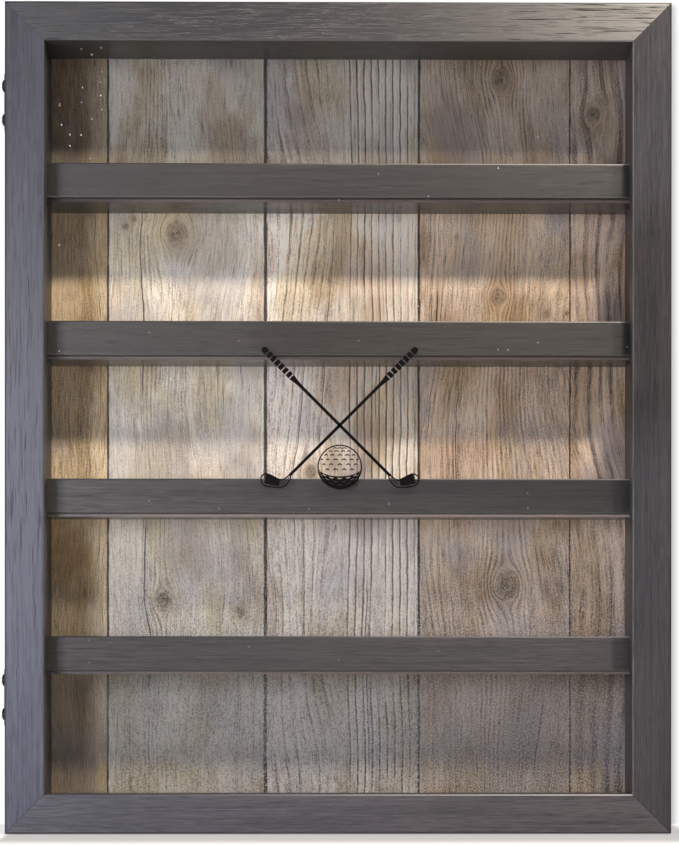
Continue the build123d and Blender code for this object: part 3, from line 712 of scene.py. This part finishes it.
def dimple_arcs():
    """The ball's lit dimples: each the upper half of a small ellipse, drawn as a band that is thickest at its
    top. Its centre goes from degrees across and up to the ball's outline as on a globe seen level."""
    row = np.arange(len(DIMPLE_ROWS))[:, None]
    azimuth = (np.arange(-3, 4)[None, :] + 0.5 * ((row + 1) % 2)) * DIMPLE_STEP
    latitude = np.broadcast_to(DIMPLE_ROWS[:, None], azimuth.shape)
    across, up = np.sin(azimuth) * np.cos(latitude), np.sin(latitude)
    seen = (np.hypot(across, up) < 0.88) & (up > -0.3)
    seen &= up > -SHADE_EDGE * np.sqrt(1 - across ** 2) + 0.16
    across, up, slant, lean = across[seen], up[seen], np.cos(azimuth)[seen], np.cos(latitude)[seen]
    turn = np.linspace(0.12, math.pi - 0.12, 9)[None, :]
    wide, tall = DIMPLE_WIDTH * slant[:, None], DIMPLE_WIDTH * 0.85 * lean[:, None]
    thick = 0.2 + 0.42 * np.sin(turn) * lean[:, None]
    rim = across_up(wide * np.cos(turn), tall * np.sin(turn))
    inner = across_up(wide * 0.86 * np.cos(turn), tall * np.sin(turn) - thick)
    centre = (BALL_MIDDLE + BALL_RADIUS * across_up(across, up))[:, None, :]
    return ink_film(centre + rim, centre + inner)


def ball_shade():
    """The ball's shaded part, in bands between curves of latitude. A curve is the ball's lower outline
    flattened to a share of its height; at each pale dimple the band above ends higher and the band below
    starts lower, so that a smile of the pane is left open between them."""
    turn = np.linspace(0.05, math.pi - 0.05, 161)
    uppers, lowers = [np.full(turn.shape, SHADE_EDGE)], []
    for share, shift, sag, thick in SHADE_ROWS:
        centres = math.pi / 2 + (np.arange(-3, 4) + shift) * DIMPLE_STEP
        near = np.clip(1 - np.min(np.abs(turn[:, None] - centres), axis=1) / 0.13, 0, 1)
        smile = 1 - (1 - near) ** 2
        lowers.append(share + (sag - thick) * smile * 0.1)
        uppers.append(share + sag * smile * 0.1)
    lowers.append(np.full(turn.shape, 0.985))

    def curves(shares):
        return BALL_MIDDLE + BALL_RADIUS * 0.985 * across_up(-np.cos(turn), -np.array(shares) * np.sin(turn))

    return ink_film(curves(uppers), curves(lowers))


def ball_ring():
    """The ball's outline, a flat ring between two circles about its middle."""
    turn = np.linspace(0, 2 * math.pi, 72, endpoint=False)
    round_about = across_up(np.cos(turn), np.sin(turn))
    return ink_film(BALL_MIDDLE + BALL_RADIUS * round_about,
                    BALL_MIDDLE + (BALL_RADIUS - RING_WIDTH) * round_about, closed=True)


GRIP_END = np.array((-35.7, 36.2))
SHAFT_END = np.array((23.3, -22.9))
GRIP_HALF, SHAFT_HALF = 1.48, 0.7
FIRST_GAP, GAP_STEP, GAP, BAND_COUNT = 3.43, 2.56, 0.55, 6
TAPER = 7.8
HEAD = ((23.0, -22.3), (26.1, -24.9), (27.5, -24.9), (32.7, -22.1), (34.4, -21.9), (36.1, -23.0), (36.5, -24.6),
        (35.8, -26.6), (34.3, -27.7), (31.4, -28.0), (27.9, -28.3), (26.1, -28.1), (24.3, -26.7), (22.4, -23.4))
HEAD_LINE = 0.62
FACE_TOP = ((27.6, -24.9), (30.7, -23.2), (34.0, -22.1))
FACE_SOLE = ((28.0, -27.5), (31.2, -27.2), (35.0, -26.3))
HOSEL_LINE = ((23.4, -23.7), (26.7, -26.9))


def rounded(loop, times=2):
    """A closed line with its corners cut, each time a quarter of the way along both sides of every corner."""
    line = np.array(loop)
    for _ in range(times):
        following = np.roll(line, -1, axis=0)
        line = np.stack([line * 0.75 + following * 0.25, line * 0.25 + following * 0.75], axis=1).reshape(-1, 2)
    return line


def club(side):
    """One iron about the crossing: along its run a round-ended grip cut by gaps, a taper and a thin shaft,
    each a band as wide at every point as its half widths say; then its head, an outline with a black face.
    side 1 has its grip at the left, and -1 mirrors it."""
    length = np.linalg.norm(SHAFT_END - GRIP_END)
    run = (SHAFT_END - GRIP_END) / length
    aside = np.array((-run[1], run[0]))

    def band(distances, halves):
        line = GRIP_END + np.asarray(distances)[..., None] * run
        shift = np.asarray(halves)[..., None] * aside
        return place(line - shift), place(line + shift)

    def place(points):
        return CROSSING + points * np.array((side, 1.0))

    cap = np.concatenate([GRIP_HALF * (1 - np.cos(np.linspace(0.12, math.pi / 2, 7))), [FIRST_GAP - GAP / 2]])
    cap_half = GRIP_HALF * np.sqrt(1 - np.clip(1 - cap / GRIP_HALF, 0, 1) ** 2)
    starts = FIRST_GAP + GAP / 2 + GAP_STEP * np.arange(BAND_COUNT)
    bands = np.stack([starts, starts + GAP_STEP - GAP], axis=1)
    taper_start = FIRST_GAP + GAP / 2 + GAP_STEP * BAND_COUNT
    slim = taper_start + TAPER * np.array((0.0, 0.25, 0.6, 1.0)), (GRIP_HALF, 1.12, 0.82, SHAFT_HALF + 0.04)
    shaft = np.append(slim[0], length), np.append(slim[1], SHAFT_HALF)
    outline = rounded(HEAD)
    tangent = np.roll(outline, -1, axis=0) - np.roll(outline, 1, axis=0)
    tangent /= np.linalg.norm(tangent, axis=1)[:, None]
    outward = np.stack([-tangent[:, 1], tangent[:, 0]], axis=1) * HEAD_LINE / 2
    hosel = np.array(HOSEL_LINE)
    return [
        ink_film(*band(cap, cap_half)),
        ink_film(*band(bands, np.full(bands.shape, GRIP_HALF))),
        ink_film(*band(*shaft)),
        ink_film(place(outline - outward), place(outline + outward), closed=True),
        ink_film(place(np.array(FACE_SOLE)), place(np.array(FACE_TOP))),
        ink_film(place(hosel - aside * 0.2), place(hosel + aside * 0.2)),
    ]


ink = printed_ink()
new_piece("emblem_ball", [ball_ring(), ball_shade(), dimple_arcs()], ink, "door")
new_piece("emblem_club_right", club(1), ink, "door")
new_piece("emblem_club_left", club(-1), ink, "door")


# ---------------------------------------------------------------- stage, lamps and camera

# Where the painted shadow in front of the case's foot is full and where it is gone, and the heights over which the
# painted shadow beside the case fades out at its top.
FRONT_NEAR = 0.028
FRONT_FAR = 0.080
SHADE_TOP = (0.3962, 0.3912)


def white_stage(name, glow_strength, reflected, contact, shade, see_through_behind):
    """A white ground that keeps the case's shadow from the lamps, with a painted shadow added: its own light plus
    what the lamps give it, both dimmed close to the case, beside its right side and in front of its foot, as
    painted shadow. contact is how far beyond the right side the painted shadow is full and how far it is gone."""
    stage = Finish(name)
    x, y = stage.x * MM, stage.y * MM
    near, far = contact
    beside = stage.rise(x - cad_high.x, far, near) * stage.rise(x - cad_low.x, 0.0, near)
    before = stage.rise(cad_low.y - y, FRONT_FAR, FRONT_NEAR)
    below_top = stage.rise(stage.z * MM, *SHADE_TOP)
    bright = 1.0 - beside * (below_top if see_through_behind else before) * shade
    ground, glow = stage.add("ShaderNodeBsdfDiffuse"), stage.add("ShaderNodeEmission")
    path, total = stage.add("ShaderNodeLightPath"), stage.add("ShaderNodeAddShader")
    stage.feed(ground.inputs["Color"], stage.shade(reflected, bright))
    stage.feed(glow.inputs["Strength"], Amount(stage, path.outputs["Is Camera Ray"]) * glow_strength * bright)
    stage.tree.links.new(ground.outputs[0], total.inputs[0])
    stage.tree.links.new(glow.outputs[0], total.inputs[1])
    output = stage.add("ShaderNodeOutputMaterial")
    surface = total.outputs[0]
    if see_through_behind:
        behind, open_side = stage.add("ShaderNodeNewGeometry"), stage.add("ShaderNodeBsdfTransparent")
        either = stage.add("ShaderNodeMixShader")
        stage.tree.links.new(behind.outputs["Backfacing"], either.inputs[0])
        stage.tree.links.new(surface, either.inputs[1])
        stage.tree.links.new(open_side.outputs[0], either.inputs[2])
        surface = either.outputs[0]
    stage.tree.links.new(surface, output.inputs["Surface"])
    return stage.material


def stage_plane(name, corners, material):
    mesh = bpy.data.meshes.new(name)
    mesh.from_pydata(corners, [], [(0, 1, 2, 3)])
    mesh.materials.append(material)
    plane = bpy.data.objects.new(name, mesh)
    bpy.context.scene.collection.objects.link(plane)
    return plane


ROOM = 4.0
WALL = cad_high.y + 0.0005
stage_plane("floor", ((-ROOM, -ROOM, 0), (ROOM, -ROOM, 0), (ROOM, ROOM, 0), (-ROOM, ROOM, 0)),
            white_stage("floor_white", 0.64, tint(230, 230, 230), (0.005, 0.0115), 0.5, False))
wall = stage_plane("wall", ((-ROOM, WALL, -0.01), (ROOM, WALL, -0.01), (ROOM, WALL, ROOM), (-ROOM, WALL, ROOM)),
                   white_stage("wall_white", 0.9, tint(112, 112, 112), (0.007, 0.0123), 0.444, True))
for sight in ("visible_diffuse", "visible_glossy", "visible_transmission", "visible_shadow"):
    setattr(wall, sight, False)


def lamp(name, place, aim, size, watts, colour):
    """A square area lamp, aimed at a point of the case."""
    data = bpy.data.lights.new(name, "AREA")
    data.shape, data.size, data.size_y = "RECTANGLE", *size
    data.energy, data.color = watts, colour
    light = bpy.data.objects.new(name, data)
    light.location = place
    light.rotation_mode = "QUATERNION"
    light.rotation_quaternion = (Vector(aim) - Vector(place)).to_track_quat("-Z", "Y")
    bpy.context.scene.collection.objects.link(light)


CASE_MIDDLE = (0.0, cad_low.y, (cad_low.z + cad_high.z) / 2)
lamp("key_lamp", (0.265, -0.86, 0.90), CASE_MIDDLE, (0.1, 0.1), 9.5, (1.0, 0.89, 0.75))
lamp("window_lamp", (-0.58, -1.6, 0.24), CASE_MIDDLE, (0.3, 0.5), 11.5, (0.84, 0.89, 1.0))

# A net that thins the key lamp in the two lowest rows; only shadows know of it
net = bpy.data.materials.new("flag_net")
net.use_nodes = True
net.node_tree.nodes.clear()
open_net = net.node_tree.nodes.new("ShaderNodeBsdfTransparent")
net_output = net.node_tree.nodes.new("ShaderNodeOutputMaterial")
open_net.inputs["Color"].default_value = (0.25, 0.25, 0.25, 1)
net.node_tree.links.new(open_net.outputs[0], net_output.inputs["Surface"])
NET_LEFT, NET_RIGHT, NET_FRONT, NET_LOW, NET_HIGH = -0.075, 0.157, -0.15, 0.185, 0.29
flag = stage_plane("flag", ((NET_LEFT, NET_FRONT, NET_LOW), (NET_RIGHT, NET_FRONT, NET_LOW),
                            (NET_RIGHT, NET_FRONT, NET_HIGH), (NET_LEFT, NET_FRONT, NET_HIGH)), net)
for sight in ("visible_camera", "visible_diffuse", "visible_glossy", "visible_transmission"):
    setattr(flag, sight, False)

world = bpy.data.worlds.new("studio")
bpy.context.scene.world = world
world.use_nodes = True
background = world.node_tree.nodes["Background"]
paths = world.node_tree.nodes.new("ShaderNodeLightPath")
choice = world.node_tree.nodes.new("ShaderNodeMix")
choice.data_type = "RGBA"
choice.inputs[6].default_value = (0.26, 0.26, 0.27, 1)
choice.inputs[7].default_value = (1.0, 1.0, 1.0, 1)
world.node_tree.links.new(paths.outputs["Is Camera Ray"], choice.inputs[0])
world.node_tree.links.new(choice.outputs[2], background.inputs["Color"])

CAMERA_DISTANCE = 1.5
LENS = 139.66
camera_data = bpy.data.cameras.new("camera")
camera_data.lens = LENS
camera_data.shift_x = -0.0546
camera_data.shift_y = 0.2303
camera = bpy.data.objects.new("camera", camera_data)
camera.location = (0.0007, cad_low.y - CAMERA_DISTANCE, 0.102)
camera.rotation_euler = [math.radians(turn) for turn in (89.89, -0.022, -0.797)]
bpy.context.scene.collection.objects.link(camera)
bpy.context.scene.camera = camera
bpy.context.scene.view_settings.view_transform = "Standard"
